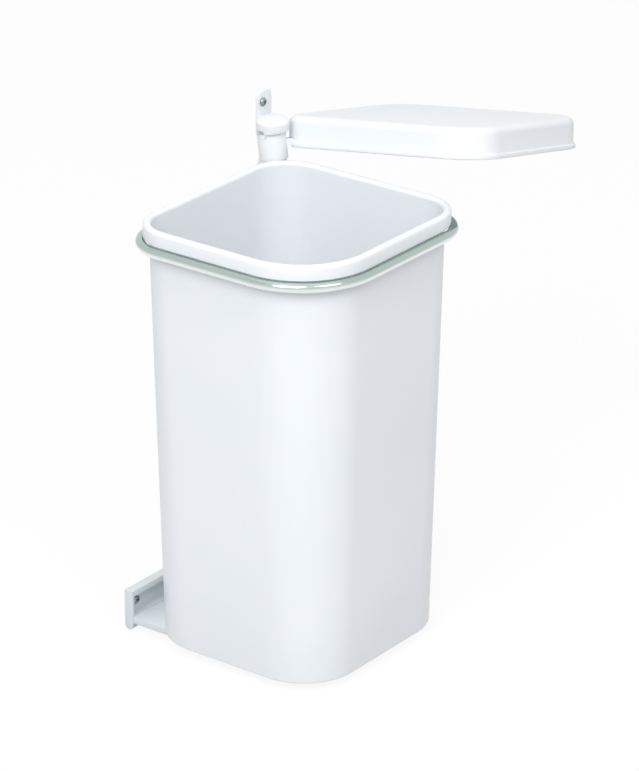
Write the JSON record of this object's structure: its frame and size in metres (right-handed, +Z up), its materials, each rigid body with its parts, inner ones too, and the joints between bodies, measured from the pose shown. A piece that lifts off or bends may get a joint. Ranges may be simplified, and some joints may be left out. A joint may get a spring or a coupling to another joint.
{
  "type": "door-mounted waste bin",
  "caption": "White lift-out waste pail on a door bracket, ringed by a wire hoop under its rim, with a shallow lid that swings aside on a leaning hinge at the back corner.",
  "frame": {"origin": "on the door's face, at the middle of the pail's width, level with the underside of the bracket's shelf", "axes": "+Z up, +Y out of the back of the bracket into the door, +X to the right for someone who faces the door, towards the column"},
  "size_m": [0.4637, 0.2487, 0.4788],
  "materials": {
    "white_plastic": "moulded, satin gloss",
    "white_enamel": "white powder coat",
    "zinc_wire": "bright zinc plate",
    "zinc_steel": "dark zinc plate",
    "nylon": "natural"
  },
  "bodies": {
    "frame": {"base_bracket": "white_plastic", "base_screw_left": "zinc_steel", "base_screw_right": "zinc_steel", "column_tube": "white_enamel", "column_screw": "zinc_steel", "column_plug": "white_enamel", "spindle": "zinc_steel", "hinge_head": "white_plastic", "tab_screw": "zinc_steel", "lower_washer": "nylon", "upper_washer": "nylon", "hoop_wire": "zinc_wire", "hoop_collar": "zinc_wire", "collar_screw": "zinc_steel"},
    "pail": {"pail": "white_plastic"},
    "lid": {"lid_shell": "white_plastic", "hinge_arm": "white_plastic", "lower_bush": "nylon", "upper_bush": "nylon", "lid_screw_near": "zinc_steel", "lid_screw_left": "zinc_steel", "lid_screw_right": "zinc_steel"}
  },
  "joints": [
    {"name": "lid_swing", "type": "hinge", "parent": "frame", "child": "lid", "pos_m": [0.11042, -0.01981, 0.41], "axis": [0.043, 0.1735, 0.9839], "range_deg": [-95, 0]},
    {"name": "pail_lift", "type": "slide", "parent": "frame", "child": "pail", "axis": [0, 0, 1], "range_m": [0, 0.006]}
  ]
}
